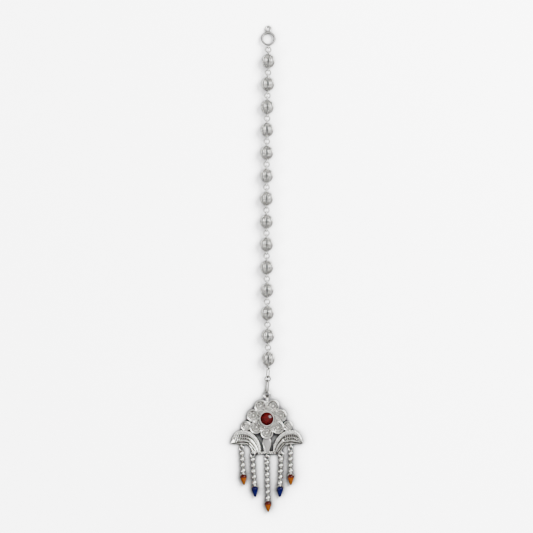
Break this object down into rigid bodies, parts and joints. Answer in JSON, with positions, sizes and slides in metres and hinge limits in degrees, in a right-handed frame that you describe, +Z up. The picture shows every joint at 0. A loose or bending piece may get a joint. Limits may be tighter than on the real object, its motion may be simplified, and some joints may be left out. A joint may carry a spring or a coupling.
{
  "type": "maang tikka",
  "caption": "Silver forehead jewel lying flat: a chain of pierced balls with an end ring, and a flower and crescent pendant with a red centre stone and bead strands ending in glass drops.",
  "frame": {"origin": "middle of the whole jewel's footprint, on the surface it lies on", "axes": "+Z up from that surface, +Y along the chain towards its end ring, +X to the right seen from above"},
  "size_m": [0.026, 0.1752, 0.0047],
  "materials": {
    "silver": "polished and oxidised silver",
    "red_stone": "cut and polished red stone",
    "orange_drop": "polished orange glass",
    "blue_drop": "polished dark blue glass"
  },
  "bodies": {
    "root": {"end_ring": "silver", "ball_01": "silver", "ball_02": "silver", "ball_03": "silver", "ball_04": "silver", "ball_05": "silver", "ball_06": "silver", "ball_07": "silver", "ball_08": "silver", "ball_09": "silver", "ball_10": "silver", "ball_11": "silver", "ball_12": "silver", "ball_13": "silver", "ball_14": "silver", "chain_ring_00": "silver", "chain_ring_01": "silver", "chain_ring_02": "silver", "chain_ring_03": "silver", "chain_ring_04": "silver", "chain_ring_05": "silver", "chain_ring_06": "silver", "chain_ring_07": "silver", "chain_ring_08": "silver", "chain_ring_09": "silver", "chain_ring_10": "silver", "chain_ring_11": "silver", "chain_ring_12": "silver", "chain_ring_13": "silver", "long_link": "silver", "joint_ring": "silver", "bail_link": "silver", "pendant_frame": "silver", "centre_stone": "red_stone", "strand_1": "silver", "strand_2": "silver", "strand_3": "silver", "strand_4": "silver", "strand_5": "silver", "drop_stone_1": "orange_drop", "drop_stone_2": "blue_drop", "drop_stone_3": "orange_drop", "drop_stone_4": "blue_drop", "drop_stone_5": "orange_drop"}
  },
  "joints": []
}
